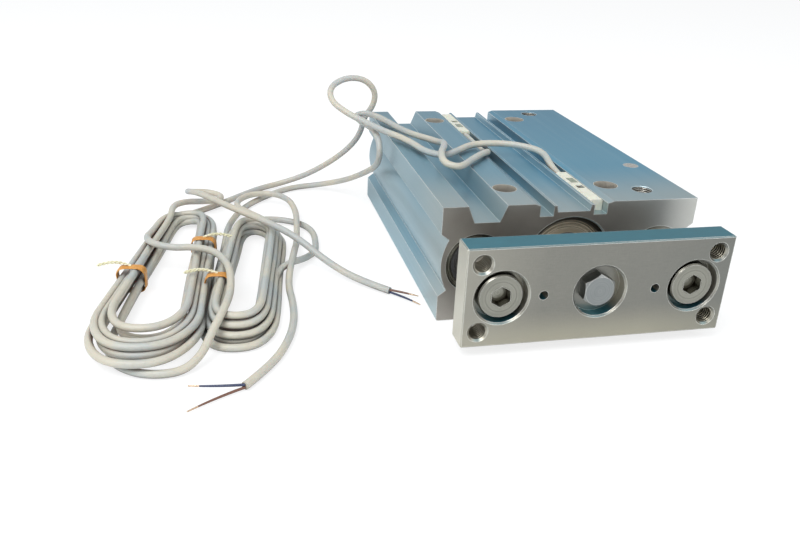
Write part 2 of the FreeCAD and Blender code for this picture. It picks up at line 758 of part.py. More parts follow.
def make_switch(label, x, closed_end, backwards):
    """A switch in its groove, from its closed end to the end where the lead leaves it."""
    floor = "(body_height - groove_depth)"
    half, top = "switch_width / 2", "switch_height"
    case = new_body(label + "_case")
    if backwards:
        case.Placement = FreeCAD.Placement(V(0, 0, 0), FreeCAD.Rotation(V(0, 0, 1), 180))
    for axis, text in zip("xyz", (x, closed_end, floor)):
        tie(case, f"Placement.Base.{axis}", text)
    section = outline(
        new_sketch(case, "XZ_Plane"),
        [
            (f"-{half}", "0"),
            (half, "0"),
            (half, f"{top} - case_chamfer"),
            (f"{half} - case_chamfer", top),
            (f"-{half} + case_chamfer", top),
            (f"-{half}", f"{top} - case_chamfer"),
        ],
    )
    pad(case, section, "switch_length", backwards=True)
    roof = ("0", "0", top)
    end = "(window_place + window_length)"
    window = outline(
        new_sketch(case, "XY_Plane", roof),
        [
            ("-window_width / 2", "window_place"),
            ("window_width / 2", "window_place"),
            ("window_width / 2", end),
            ("-window_width / 2", end),
        ],
    )
    pocket(case, window, "window_depth")
    pocket(case, circles(new_sketch(case, "XY_Plane", roof), [("0", "screw_place")], "screw_size"), "screw_length")
    along = "-" if backwards else "+"
    lens = doc.addObject("Part::Box", label + "_window")
    tie(lens, "Length", "window_width")
    tie(lens, "Width", "window_length")
    tie(lens, "Height", "window_depth")
    low_end = "(window_place + window_length)" if backwards else "window_place"
    tie(lens, "Placement.Base.x", f"{x} - window_width / 2")
    tie(lens, "Placement.Base.y", f"{closed_end} {along} {low_end}")
    tie(lens, "Placement.Base.z", f"{floor} + {top} - window_depth")
    bottom = f"{floor} + {top} - screw_length"
    cylinder(label + "_screw", "screw_size", "screw_length * 0.9", (x, f"{closed_end} {along} screw_place", bottom))


# ---------------------------------------------------------------- the leads, their coils and ties

FRONT_LEAD = [
    (12.7, -39, 50.7), (12.8, -27, 51.6), (13.6, -13, 56), (4, -4, 57), (-8, 2, 56.9),
    (-21, 2, 56.4), (-31, -8, 56.2), (-41, -17, 56.2), (-49, -9, 56.2), (-51.5, 5, 56.3),
    (-56, 18, 56.6), (-63, 29, 57.2), (-71, 39, 59.4), (-80, 48, 62.5), (-88, 56.5, 67.5),
    (-87, 66, 73.5), (-77, 71, 77.6), (-66, 72, 76.6), (-59, 73, 69.5), (-59.6, 74.5, 60.5),
    (-65, 77, 52.5), (-66, 79.5, 43.5), (-70, 84, 34.5), (-78, 90, 25), (-88, 97, 16),
    (-99, 103, 8.5), (-112, 107, 3), (-126, 101, 2), (-138, 89, 2), (-149, 77, 2),
    (-160, 66, 2), (-169, 56, 3), (-173, 45, 4),
]
REAR_LEAD = [
    (-12.7, 40, 50.7), (-12.6, 27, 50.7), (-12.9, 14, 50.7), (-13.2, 2, 51), (-15, -9, 55.6),
    (-22.5, -18, 56.8), (-30, -26, 56.4), (-35.5, -34, 56.7), (-42.5, -38, 57.6), (-48, -32, 59),
    (-43, -21, 61.3), (-38.5, -10, 60.6), (-38, 2, 57.4), (-42, 14, 56.4), (-48.5, 25, 56.4),
    (-53, 38, 56.4), (-56, 52, 56.4), (-60.5, 63.5, 57), (-66, 71, 56.8), (-72, 68.5, 56),
    (-70.5, 58, 55), (-66.5, 48, 54.5), (-65.5, 36, 54), (-65.3, 26, 50.5), (-65.3, 25.6, 42),
    (-65.6, 36, 34.5), (-66.5, 51, 27.5), (-68.5, 67, 20), (-73, 82, 12.5), (-81, 94, 6.5),
    (-92, 101, 2.8), (-104, 101, 1.9), (-115, 94, 1.9), (-125, 84, 1.9), (-134, 73, 1.9),
    (-140, 60, 1.9), (-142, 46, 2.4), (-140.5, 33, 4),
]
FRONT_TAIL = [
    (-162, 44, 8), (-154, 54, 7.4), (-149, 66, 6.4), (-150.5, 78, 5.8), (-159, 85, 6),
    (-168.5, 79.5, 8.4), (-170.5, 67, 13), (-164, 52, 17.5), (-154, 35.5, 18), (-142, 18, 18),
    (-129, 1.5, 17.8), (-115, -13, 14.6), (-102, -28, 7), (-88.5, -42, 2.4), (-75, -55, 1.9),
]
REAR_TAIL = [
    (-137, 26, 8), (-141.5, 37, 7.6), (-145, 51, 7.2), (-143, 66, 6.8), (-133, 77.5, 6.2),
    (-120, 77, 5.4), (-112.5, 65, 4), (-110.5, 49, 2.4), (-111, 31, 1.9), (-113, 11, 1.9),
    (-116.5, -10, 1.9), (-120.5, -31, 1.9), (-123, -51, 1.9), (-126.5, -71, 1.9),
    (-131, -92, 1.9), (-137.5, -110.5, 1.9), (-146, -127, 1.9),
]
WIRES = {
    "front_lead_brown": [(-75, -55, 2.4), (-68.5, -59.5, 2.6), (-62.5, -61.5, 1.4)],
    "front_lead_blue": [(-75, -55, 1.2), (-68, -62, 1), (-63.5, -69, 0.8)],
    "rear_lead_blue": [(-146, -127, 2.4), (-156, -127, 2.6), (-167, -123, 1.4)],
    "rear_lead_brown": [(-146, -127, 1.2), (-157, -132, 1), (-167, -139, 0.8)],
}
COIL_HEIGHT = 13
TIE_WALL = 0.8
# Each coil is a tapered ring: the far end's centre and radii, then the near end's.
COILS = {
    "front_lead_coil": ((-167, 34), 20, 7, (-184, -84), 25, 13),
    "rear_lead_coil": ((-131, 19), 15.5, 5, (-143.5, -80), 12, 3),
}
# Each tie: its coil, the limb (-1 left, 1 right) and how far down the coil it sits.
TIES = {
    "front_coil_tie_left": ("front_lead_coil", -1, 0.58),
    "front_coil_tie_right": ("front_lead_coil", 1, 0.34),
    "rear_coil_tie": ("rear_lead_coil", -1, 0.75),
}


def rounded_path(points):
    """Straight runs joined by arcs as large as the runs allow; gives the edges and the radii."""
    corners = [V(*point) for point in points]
    edges, radii = [], []
    last = corners[0]
    for before, corner, after in zip(corners, corners[1:], corners[2:]):
        come, go = corner - before, after - corner
        reach = 0.45 * min(come.Length, go.Length)
        half = come.getAngle(go) / 2
        radii.append(reach / math.tan(half))
        come.normalize()
        go.normalize()
        start, end = corner - come * reach, corner + go * reach
        inward = (go - come).normalize()
        middle = corner + inward * (radii[-1] / math.cos(half) - radii[-1])
        edges.append(Part.LineSegment(last, start).toShape())
        edges.append(Part.Arc(start, middle, end).toShape())
        last = end
    edges.append(Part.LineSegment(last, corners[-1]).toShape())
    return edges, radii


def make_cord(label, points, diameter):
    edges, radii = rounded_path(points)
    path = Part.Wire(edges)
    direction = V(*points[1]) - V(*points[0])
    section = Part.Wire(Part.makeCircle(diameter / 2, V(*points[0]), direction))
    solid = path.makePipeShell([section], True, False)
    expected = math.pi * diameter**2 / 4 * path.Length
    if abs(solid.Volume / expected - 1) > 0.02:
        raise RuntimeError(f"{label}: volume {solid.Volume:.0f}, not {expected:.0f}")
    print(label, "length", round(path.Length, 1), "radii", [round(radius, 1) for radius in radii])
    part = doc.addObject("Part::Feature", label)
    part.Shape = solid
    return part


def tapered_ring(far, far_radius, near, near_radius):
    """The closed wire round two circles, and the angle of its sides from the line of centres."""
    line = V(*near) - V(*far)
    heading = math.atan2(line.y, line.x)
    lean = math.acos((far_radius - near_radius) / line.Length)

    def spot(centre, radius, angle):
        return V(*centre) + V(math.cos(angle), math.sin(angle), 0) * radius

    right, left = heading + lean, heading - lean
    wire = Part.Wire(
        [
            Part.LineSegment(spot(far, far_radius, left), spot(near, near_radius, left)).toShape(),
            Part.Arc(
                spot(near, near_radius, left),
                spot(near, near_radius, heading),
                spot(near, near_radius, right),
            ).toShape(),
            Part.LineSegment(spot(near, near_radius, right), spot(far, far_radius, right)).toShape(),
            Part.Arc(
                spot(far, far_radius, right),
                spot(far, far_radius, heading + math.pi),
                spot(far, far_radius, left),
            ).toShape(),
        ]
    )
    return wire


def make_coil(label, far, far_outer, far_inner, near, near_outer, near_inner):
    outside = Part.Face(tapered_ring(far, far_outer, near, near_outer))
    hole = Part.Face(tapered_ring(far, far_inner, near, near_inner))
    ring = outside.cut(hole).extrude(V(0, 0, COIL_HEIGHT))
    ring.translate(V(0, 0, TIE_WALL))
    top = TIE_WALL + COIL_HEIGHT
    rims = [edge for edge in ring.Edges if edge.BoundBox.ZMin > top - 0.01]
    part = doc.addObject("Part::Feature", label)
    part.Shape = ring.makeChamfer(size("lead_size"), rims)
    return part


def make_tie(label, coil, limb, share):
    """A flat band round one limb of a coil."""
    far, far_outer, far_inner, near, near_outer, near_inner = COILS[coil]
    centre = V(*far) + (V(*near) - V(*far)) * share
    outer = far_outer + (near_outer - far_outer) * share
    inner = far_inner + (near_inner - far_inner) * share
    middle, across = (outer + inner) / 2, outer - inner + 0.3
    shell, band = across + 2 * TIE_WALL, 2 * size("lead_size")
    outside = Part.makeBox(shell, band, COIL_HEIGHT + 2 * TIE_WALL, V(-shell / 2, -band / 2, 0))
    inside = Part.makeBox(across, 2 * band, COIL_HEIGHT, V(-across / 2, -band, TIE_WALL))
    line = V(*near) - V(*far)
    turn = math.degrees(math.atan2(line.x, -line.y))
    side = FreeCAD.Rotation(V(0, 0, 1), turn)
    spot = centre + side.multVec(V(limb * middle, 0, 0))
    part = doc.addObject("Part::Feature", label)
    part.Shape = outside.cut(inside)
    part.Placement = FreeCAD.Placement(spot, side)
    return part


# ---------------------------------------------------------------- build, check, write


def main():
    make_cylinder_body()
    make_covers()
    retaining_ring("head_retaining_ring", f"({HEAD_SEAT} - ring_thickness)")
    retaining_ring("rear_retaining_ring", REAR_SEAT)
    make_guides()
    make_piston()
    make_plate()
    make_plate_bolts()
    make_switch("front_switch", "switch_offset", f"{FRONT} + front_switch_inset", False)
    make_switch("rear_switch", "-switch_offset", f"{REAR} - rear_switch_inset", True)
    diameter = size("lead_size")
    make_cord("front_lead", FRONT_LEAD, diameter)
    make_cord("rear_lead", REAR_LEAD, diameter)
    make_cord("front_lead_tail", FRONT_TAIL, diameter)
    make_cord("rear_lead_tail", REAR_TAIL, diameter)
    for label, points in WIRES.items():
        make_cord(label, points, size("core_size"))
    for label, ring in COILS.items():
        make_coil(label, *ring)
    for label, place in TIES.items():
        make_tie(label, *place)
    doc.recompute()
    for thing in doc.Objects:
        if {"Invalid", "Error"} & set(thing.State):
            raise RuntimeError(f"{thing.Name}: {thing.State}")
    kinds = ("PartDesign::Body", "Part::Feature", "Part::Box", "Part::Cylinder")
    parts = [thing for thing in doc.Objects if thing.TypeId in kinds]
    for part in parts:
        if part.Shape.isNull() or not part.Shape.isValid() or len(part.Shape.Solids) != 1:
            raise RuntimeError(part.Label + ": its shape is not one valid solid")
    os.makedirs("parts", exist_ok=True)
    for part in parts:
        part.Shape.exportStep(f"parts/{part.Label}.step")
    print(len(parts), "parts written")


main()
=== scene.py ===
"""A guided pneumatic cylinder with two switch leads, on a white studio floor."""

import math
import random

import bmesh
import bpy
from mathutils import Matrix, Vector


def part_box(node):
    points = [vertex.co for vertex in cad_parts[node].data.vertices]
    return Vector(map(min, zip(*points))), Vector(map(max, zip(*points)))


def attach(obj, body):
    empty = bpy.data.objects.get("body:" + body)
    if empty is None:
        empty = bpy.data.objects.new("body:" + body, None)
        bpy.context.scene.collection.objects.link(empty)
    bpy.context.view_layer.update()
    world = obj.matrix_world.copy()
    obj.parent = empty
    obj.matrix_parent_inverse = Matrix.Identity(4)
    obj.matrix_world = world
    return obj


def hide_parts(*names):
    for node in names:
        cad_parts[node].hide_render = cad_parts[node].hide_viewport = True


MM = 0.001

# Places and sizes that materials and leads go by, in millimetres.
PORT_X, PORT_MIDDLE, PORT_SPREAD = 39.5, 2.5, 72.5
HOLE_X, HOLE_Y = 25, 62
PLATE_HOLE_X, PLATE_HOLE_Z, PLATE_MIDDLE = 52, 15, 27
SWITCH_X, SWITCH_MARK = 12.7, 18
LEAD_SIZE = 3.4
CORE_SIZE = 1.1

# A turn of a coil: down one limb, round the near end, up the other limb, round the far end.
LIMB_STEPS = 5
END_STEPS = 3
HALF_TURN = LIMB_STEPS + END_STEPS
COIL_STEPS = 2 * HALF_TURN
FAR_END = COIL_STEPS - END_STEPS

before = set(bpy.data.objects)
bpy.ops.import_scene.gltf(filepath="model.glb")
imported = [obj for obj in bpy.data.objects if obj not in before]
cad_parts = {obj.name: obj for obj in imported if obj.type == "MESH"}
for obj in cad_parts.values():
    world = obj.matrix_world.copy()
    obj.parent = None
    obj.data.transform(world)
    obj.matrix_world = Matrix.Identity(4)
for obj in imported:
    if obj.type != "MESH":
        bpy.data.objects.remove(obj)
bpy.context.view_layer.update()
chance = random.Random(7)


# ---------------------------------------------------------------- finishes


class Nodes:
    """Short calls for the nodes of one tree."""

    def __init__(self, tree):
        self.tree = tree

    def node(self, kind, **settings):
        made = self.tree.nodes.new("ShaderNode" + kind)
        for name, value in settings.items():
            setattr(made, name, value)
        return made

    def put(self, socket, value):
        if isinstance(value, bpy.types.NodeSocket):
            self.tree.links.new(value, socket)
        else:
            socket.default_value = value

    def axes(self, vector):
        parts = self.node("SeparateXYZ")
        self.put(parts.inputs[0], vector)
        return parts.outputs

    def calc(self, operation, first, second=0.0, third=0.0):
        made = self.node("Math", operation=operation)
        for socket, value in zip(made.inputs, (first, second, third)):
            self.put(socket, value)
        return made.outputs[0]

    def fit(self, value, low, high, to_low=0.0, to_high=1.0, smooth=False):
        kind = "SMOOTHSTEP" if smooth else "LINEAR"
        made = self.node("MapRange", interpolation_type=kind)
        for socket, number in zip(made.inputs, (value, low, high, to_low, to_high)):
            self.put(socket, number)
        return made.outputs[0]

    def blend(self, share, first, second):
        """Two shaders mixed."""
        made = self.node("MixShader")
        for socket, value in zip(made.inputs, (share, first, second)):
            self.put(socket, value)
        return made.outputs[0]


class Finish(Nodes):
    """One material, with short calls for what shapes it."""

    def __init__(self, name, **constants):
        self.material = bpy.data.materials.new(name)
        self.material.use_nodes = True
        super().__init__(self.material.node_tree)
        self.shader = self.tree.nodes["Principled BSDF"]
        for socket, value in constants.items():
            self.shader.inputs[socket.replace("_", " ")].default_value = value

    def place(self, stretch=(1, 1, 1)):
        """The point in the row frame in millimetres, times stretch."""
        mapping = self.node("Mapping")
        self.put(mapping.inputs["Vector"], self.node("TexCoord").outputs["Object"])
        self.put(mapping.inputs["Scale"], [share / MM for share in stretch])
        return mapping.outputs["Vector"]

    def normal(self):
        return self.axes(self.node("TexCoord").outputs["Normal"])

    def off(self, value, spread):
        """How far a value lies past plus or minus spread."""
        return self.calc("SUBTRACT", self.calc("ABSOLUTE", value), spread)

    def radius(self, first, second):
        """The distance from an axis, from the distances along the other two."""
        squares = self.calc("ADD", self.calc("POWER", first, 2), self.calc("POWER", second, 2))
        return self.calc("SQRT", squares)

    def ridges(self, depth, pitch, first, second):
        """A thread's ridges in a hole: depth along its axis, first and second across it."""
        turn = self.calc("ARCTAN2", first, second)
        rise = self.calc("MULTIPLY", depth, 2 * math.pi / pitch)
        return self.calc("SINE", self.calc("ADD", rise, turn))

    def noise(self, scale, stretch=(1, 1, 1), detail=3.0, spot=None):
        made = self.node("TexNoise")
        self.put(made.inputs["Vector"], self.place(stretch) if spot is None else spot)
        self.put(made.inputs["Scale"], scale)
        self.put(made.inputs["Detail"], detail)
        return made.outputs["Fac"]

    def turned(self, node):
        """Fine marks round the lengthwise axis of a round node, and of its mirrored twin."""
        low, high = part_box(node)
        x, y, z = self.axes(self.place())
        gap_x = self.off(x, abs(low.x + high.x) / 2 / MM)
        gap_z = self.calc("SUBTRACT", z, (low.z + high.z) / 2 / MM)
        spot = self.node("CombineXYZ")
        self.put(spot.inputs[0], self.radius(gap_x, gap_z))
        self.put(spot.inputs[1], y)
        return self.noise(1.8, spot=spot.outputs[0])

    def mix(self, share, first, second):
        made = self.node("Mix", data_type="RGBA")
        self.put(made.inputs["Factor"], share)
        for socket, colour in zip((made.inputs["A"], made.inputs["B"]), (first, second)):
            self.put(socket, (*colour, 1) if isinstance(colour, tuple) else colour)
        return made.outputs["Result"]

    def edge(self, radius):
        """1 on the rounded edges of a shape, 0 on its faces; the finishes paint highlights by it.
        """
        bevel = self.node("Bevel", samples=4)
        self.put(bevel.inputs["Radius"], radius * MM)
        turn = self.node("VectorMath", operation="DOT_PRODUCT")
        self.put(turn.inputs[0], bevel.outputs[0])
        self.put(turn.inputs[1], self.node("NewGeometry").outputs["Normal"])
        return self.fit(turn.outputs["Value"], 0.995, 0.93)

    def open_air(self, reach):
        """1 on open faces, less down in a socket or crevice; the finishes paint shade by it."""
        made = self.node("AmbientOcclusion", samples=8)
        self.put(made.inputs["Distance"], reach * MM)
        return made.outputs["AO"]

    def finish(self, colour, roughness, height=None, depth=0.02):
        self.put(self.shader.inputs["Base Color"], colour)
        self.put(self.shader.inputs["Roughness"], roughness)
        if height is not None:
            bump = self.node("Bump")
            self.put(bump.inputs["Height"], height)
            self.put(bump.inputs["Distance"], depth * MM)
            self.put(self.shader.inputs["Normal"], bump.outputs[0])
        return self.material


def anodised():
    """Drawn lines along the length, cut ends and threads in the ports, with painted light and
    shade across the faces, painted highlights on the edges and thread crests, and painted shade
    and light down the holes.
    """
    look = Finish("anodised_aluminium", Metallic=0.85)
    across, along, upward = look.normal()
    x, y, z = look.axes(look.place())
    lines = look.noise(0.9, (1, 0.012, 1), 4)
    cloud = look.noise(0.02, (1, 0.5, 1), 2)
    # Painted light: the long faces lighter towards the front, greyer towards the left and paler
    # by the front end.
    drawn = look.mix(look.fit(y, 85, -20), (0.085, 0.29, 0.44), (0.115, 0.37, 0.54))
    drawn = look.mix(look.fit(x, 25, -45, 0.0, 0.55), drawn, (0.30, 0.42, 0.46))
    drawn = look.mix(look.fit(y, -30, -88, 0.0, 0.85, True), drawn, (0.47, 0.53, 0.52))
    drawn = look.mix(look.fit(lines, 0.35, 0.65, 0.0, 0.22), drawn, (0.46, 0.60, 0.66))
    drawn = look.mix(look.fit(cloud, 0.4, 0.7, 0.0, 0.2), drawn, (0.15, 0.36, 0.48))
    # Painted reflection: faces that don't face up are paler grey than the blue top.
    flank_light = look.fit(upward, 0.7, 0.2)
    drawn = look.mix(look.calc("MULTIPLY", flank_light, 0.45), drawn, (0.42, 0.50, 0.51))
    swirl = look.noise(0.06)
    cut = look.mix(look.fit(swirl, 0.3, 0.7), (0.36, 0.335, 0.30), (0.43, 0.41, 0.375))
    # Painted shade and light: the cut ends darker towards the right, then bright by their right
    # edge.
    cut = look.mix(look.fit(x, 0, 40, 0.0, 0.6), cut, (0.27, 0.30, 0.305))
    cut = look.mix(look.fit(x, 42, 60, 0.0, 0.8), cut, (0.60, 0.60, 0.56))
    end = look.fit(look.calc("ABSOLUTE", along), 0.8, 0.9)
    colour = look.mix(end, drawn, cut)
    # Painted highlight on the rounded edges.
    colour = look.mix(look.edge(0.5), colour, (0.93, 0.95, 0.93))
    port_y = look.off(look.calc("SUBTRACT", y, PORT_MIDDLE), PORT_SPREAD)
    port_y = look.calc("ABSOLUTE", port_y)
    port_x = look.calc("SUBTRACT", x, PORT_X)
    inside = look.fit(look.radius(port_y, port_x), 4.6, 4.45)
    ridges = look.ridges(z, 0.9, port_y, port_x)
    # Painted shade in the port thread grooves, painted highlights on the crests.
    thread = look.mix(look.fit(ridges, -0.6, 0.6), (0.05, 0.05, 0.045), (0.62, 0.60, 0.55))
    colour = look.mix(inside, colour, thread)
    hole = look.radius(look.off(x, HOLE_X), look.off(y, HOLE_Y))
    # Painted shade and light down the holes: dark at the bottom, bright near the top.
    hole_shade = look.mix(look.fit(z, 46.5, 53.5), (0.16, 0.145, 0.12), (0.92, 0.88, 0.80))
    colour = look.mix(look.fit(hole, 5.7, 5.55), colour, hole_shade)
    drawn_height = look.calc("MULTIPLY", lines, look.fit(end, 0, 1, 0.3, 0.0))
    height = look.mix(inside, drawn_height, look.calc("MULTIPLY", ridges, 6))
    rough = look.fit(lines, 0.3, 0.7, 0.34, 0.46)
    return look.finish(colour, rough, height, 0.03)


def ground_plate():
    """Fine ground steel, with threads in the four corner holes, painted light and shade on its
    faces, a painted reflection on its top and painted highlights on its edges and thread crests.
    """
    look = Finish("ground_steel", Metallic=0.9)
    across, along, upward = look.normal()
    x, y, z = look.axes(look.place())
    grain = look.noise(1.6, (0.12, 1, 2.4), 4)
    weave = look.noise(2.5, (1, 1, 0.3))
    cloud = look.noise(0.03, detail=2)
    front = look.mix(look.fit(grain, 0.3, 0.7), (0.215, 0.212, 0.188), (0.255, 0.25, 0.222))
    front = look.mix(look.fit(weave, 0.45, 0.75, 0.0, 0.3), front, (0.30, 0.295, 0.26))
    front = look.mix(look.fit(cloud, 0.35, 0.7, 0.0, 0.3), front, (0.19, 0.192, 0.178))
    # Painted light and shade: the front lighter towards the bottom and the left, darker towards
    # the right.
    front = look.mix(look.fit(z, 22, 4, 0.0, 0.75, True), front, (0.45, 0.425, 0.335))
    front = look.mix(look.fit(x, -25, -59, 0.0, 0.5), front, (0.42, 0.40, 0.34))
    front = look.mix(look.fit(x, 20, 59, 0.0, 0.4), front, (0.15, 0.16, 0.155))
    # Painted reflection: the top faces teal-blue.
    top = look.mix(look.fit(grain, 0.3, 0.7), (0.055, 0.23, 0.30), (0.085, 0.29, 0.37))
    colour = look.mix(look.fit(upward, 0.6, 0.9), front, top)
    # Painted light: faces that face left are lighter.
    flank_light = look.fit(look.calc("MULTIPLY", across, -1), 0.6, 0.9)
    colour = look.mix(flank_light, colour, (0.63, 0.60, 0.51))
    # Painted highlight on the rounded edges.
    colour = look.mix(look.edge(0.35), colour, (0.82, 0.83, 0.78))
    gap_x = look.off(x, PLATE_HOLE_X)
    gap_z = look.off(look.calc("SUBTRACT", z, PLATE_MIDDLE), PLATE_HOLE_Z)
    inside = look.fit(look.radius(gap_x, gap_z), 3.6, 3.5)
    ridges = look.ridges(y, 1.25, gap_x, gap_z)
    # Painted shade in the corner-hole thread grooves, painted highlights on the crests.
    thread = look.mix(look.fit(ridges, -0.2, 0.8), (0.02, 0.017, 0.012), (0.66, 0.62, 0.50))
    colour = look.mix(inside, colour, thread)
    height = look.mix(inside, look.calc("MULTIPLY", grain, 0.3), look.calc("MULTIPLY", ridges, 6))
    rough = look.fit(grain, 0.3, 0.7, 0.30, 0.42)
    return look.finish(colour, rough, height, 0.03)


def turned_metal(
    name, node, dark, light, rough, glint=(0.75, 0.74, 0.70), socket_shade=0, metallic=1.0
):
    """Metal turned round the axis of a node, with a painted highlight on its edges; a socket
    reach, when given, paints shade down sockets as deep as that.
    """
    look = Finish(name, Metallic=metallic)
    rings = look.turned(node)
    wear = look.noise(0.12)
    colour = look.mix(look.fit(rings, 0.3, 0.7), dark, light)
    colour = look.mix(look.fit(wear, 0.5, 0.75, 0.0, 0.35), colour, dark)
    # Painted highlight on the rounded edges.
    colour = look.mix(look.edge(0.25), colour, glint)
    # Painted shade down in sockets, deeper where they are more closed in.
    if socket_shade:
        depth = look.fit(look.open_air(socket_shade), 0.72, 0.42)
        colour = look.mix(depth, colour, (0.04, 0.032, 0.018))
    return look.finish(colour, look.fit(rings, 0.3, 0.7, rough, rough + 0.1), rings, 0.01)


def rubber(name, colour):
    look = Finish(name)
    grain = look.noise(3.0, detail=4)
    pale = tuple(min(1, 1.6 * part + 0.02) for part in colour)
    shade = look.mix(look.fit(grain, 0.35, 0.7), colour, pale)
    return look.finish(shade, look.fit(grain, 0.3, 0.7, 0.55, 0.7), grain, 0.03)


def moulded(name, colour, deep, rough=0.4):
    look = Finish(name)
    cloud = look.noise(0.25)
    grain = look.noise(6.0)
    shade = look.mix(look.fit(cloud, 0.35, 0.7), colour, deep)
    return look.finish(shade, look.fit(grain, 0.3, 0.7, rough, rough + 0.12), grain, 0.02)


def switch_plastic(name, x, closed_end, sense):
    """Cream case with the black square of the switch point on its top."""
    look = Finish(name, Subsurface_Weight=0.1)
    px, py, pz = look.axes(look.place())
    cloud = look.noise(0.3)
    grain = look.noise(5.0)
    cream = look.mix(look.fit(cloud, 0.35, 0.7), (0.74, 0.71, 0.60), (0.66, 0.63, 0.52))
    gap_x = look.calc("ABSOLUTE", look.calc("SUBTRACT", px, x))
    gap_y = look.calc("ABSOLUTE", look.calc("SUBTRACT", py, closed_end + sense * SWITCH_MARK))
    square = look.fit(look.calc("MAXIMUM", gap_x, gap_y), 1.75, 1.65)
    face = look.fit(look.normal()[2], 0.8, 0.95)
    colour = look.mix(look.calc("MULTIPLY", square, face), cream, (0.012, 0.012, 0.012))
    return look.finish(colour, look.fit(grain, 0.3, 0.7, 0.38, 0.5), grain, 0.03)


def clear_window():
    look = Finish("clear_window", IOR=1.5, Transmission_Weight=0.55)
    cloud = look.noise(0.6)
    colour = look.mix(look.fit(cloud, 0.3, 0.7), (0.30, 0.40, 0.30), (0.62, 0.68, 0.52))
    return look.finish(colour, look.fit(cloud, 0.3, 0.7, 0.12, 0.22), cloud, 0.05)


def cable_jacket():
    """Cream vinyl, a little uneven and slightly soiled, with painted shade where strands lie
    close together.
    """
    look = Finish("cable_jacket", Subsurface_Weight=0.08)
    cloud = look.noise(0.045)
    spots = look.noise(0.5, detail=4)
    grain = look.noise(4.0)
    colour = look.mix(look.fit(cloud, 0.4, 0.6), (0.54, 0.50, 0.42), (0.42, 0.435, 0.425))
    colour = look.mix(look.fit(spots, 0.55, 0.8, 0.0, 0.4), colour, (0.36, 0.335, 0.28))
    # Painted shade where strands lie close together.
    colour = look.mix(look.fit(look.open_air(4), 0.8, 0.2), colour, (0.13, 0.125, 0.11))
    return look.finish(colour, look.fit(grain, 0.3, 0.7, 0.36, 0.5), grain, 0.03)


def tie_plastic():
    look = Finish("tie_plastic")
    streaks = look.noise(1.2, (1, 1, 0.3))
    creases = look.noise(0.5, detail=2)
    colour = look.mix(look.fit(streaks, 0.3, 0.7), (0.50, 0.20, 0.035), (0.72, 0.36, 0.08))
    height = look.calc("ADD", look.calc("MULTIPLY", creases, 2), streaks)
    return look.finish(colour, look.fit(creases, 0.3, 0.7, 0.34, 0.5), height, 0.12)


def core_vinyl(name, colour, tip, bare):
    """A core's vinyl, bare tinned strands for the last few millimetres before its tip."""
    look = Finish(name)
    gap = look.node("VectorMath", operation="DISTANCE")
    look.put(gap.inputs[0], look.place())
    look.put(gap.inputs[1], tip)
    stripped = look.fit(gap.outputs["Value"], bare + 0.15, bare - 0.15)
    grain = look.noise(3.0)
    strands = look.mix(look.fit(grain, 0.4, 0.6), (0.42, 0.26, 0.16), (0.85, 0.68, 0.50))
    vinyl = look.mix(look.fit(grain, 0.3, 0.7), colour, tuple(1.5 * part for part in colour))
    shade = look.mix(stripped, vinyl, strands)
    look.put(look.shader.inputs["Metallic"], look.calc("MULTIPLY", stripped, 0.8))
    return look.finish(shade, look.fit(grain, 0.3, 0.7, 0.3, 0.42), grain, 0.04)


def dress(node, material):
    """Gives a carried-over CAD node its material."""
    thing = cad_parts[node]
    if not thing.material_slots:
        thing.data.materials.append(material)
    for holder in thing.material_slots:
        holder.material = material


# ---------------------------------------------------------------- the leads

# The routes of the part's source, in millimetres, moved here and there. The leads stay
# within 10 mm of their own solids.
FRONT_LEAD = [
    (12.7, -39, 50.7), (12.8, -27, 51.6), (13.6, -13, 56), (4, -4, 57), (-8, 2, 56.9),
    (-21, 2, 56.4), (-31, -8, 56.2), (-41, -17, 56.2), (-49, -9, 56.2), (-51.5, 5, 56.3),
    (-56, 18, 56.6), (-63, 29, 57.2), (-71, 39, 59.4), (-80, 48, 62.5), (-88, 56.5, 67.5),
    (-87, 66, 73.5), (-77, 71, 77.6), (-66, 72, 76.6), (-59, 73, 69.5), (-59.6, 74.5, 60.5),
    (-65, 77, 52.5), (-66, 79.5, 43.5), (-70, 84, 34.5), (-78, 90, 25), (-88, 97, 16),
    (-99, 103, 8.5), (-112, 107, 3), (-126, 101, 2), (-138, 89, 2), (-149, 77, 2),
    (-160, 66, 2), (-170, 58, 1.9), (-180, 50, 1.9),
]
REAR_LEAD = [
    (-12.7, 40, 50.7), (-12.6, 27, 50.7), (-12.9, 14, 50.7), (-13.2, 2, 51), (-15, -9, 55.6),
    (-22.5, -18, 56.8), (-30, -26, 56.4), (-35.5, -34, 56.7), (-41, -39.5, 57.4),
    (-46.5, -36, 58.4), (-46, -26.5, 60.4), (-41, -16, 61.2), (-38.5, -5, 59.6),
    (-38, 4, 57.2), (-42, 15, 56.4), (-48.5, 25, 56.4), (-53, 38, 56.4), (-56, 52, 56.4),
    (-60.5, 63.5, 57), (-66, 71, 56.8), (-72, 68.5, 56),
    (-70.5, 58, 55), (-66.5, 48, 54.5), (-65.5, 36, 54), (-65.3, 26, 50.5), (-65.3, 25.6, 42),
    (-65.6, 36, 34.5), (-66.5, 51, 27.5), (-68.5, 67, 20), (-73, 82, 12.5), (-81, 94, 6.5),
    (-92, 101, 2.8), (-104, 101, 1.9), (-115, 94, 1.9), (-125, 84, 1.9), (-134, 73, 1.9),
    (-141, 60, 1.9), (-145.5, 46, 2), (-148.5, 33, 2), (-149.5, 21, 2),
]
# A strand of the front coil that arches over its right limb and comes back under its near end.
FRONT_ARCH = [
    (-189, -1, 12.6), (-184.5, -12.5, 13.9), (-175, -17, 13.2), (-165.5, -20, 14.6),
    (-156.5, -27, 15.2), (-151.5, -37, 15.4), (-149, -49, 15.4), (-148.7, -62, 15.2),
    (-149.5, -75, 15), (-152.5, -87, 14), (-157.5, -97, 9.5), (-161.5, -105.5, 4.6),
    (-168, -112.5, 2), (-177, -114.5, 1.9), (-187.5, -111.5, 1.9), (-196.5, -102, 1.9),
    (-199, -87, 1.9),
]
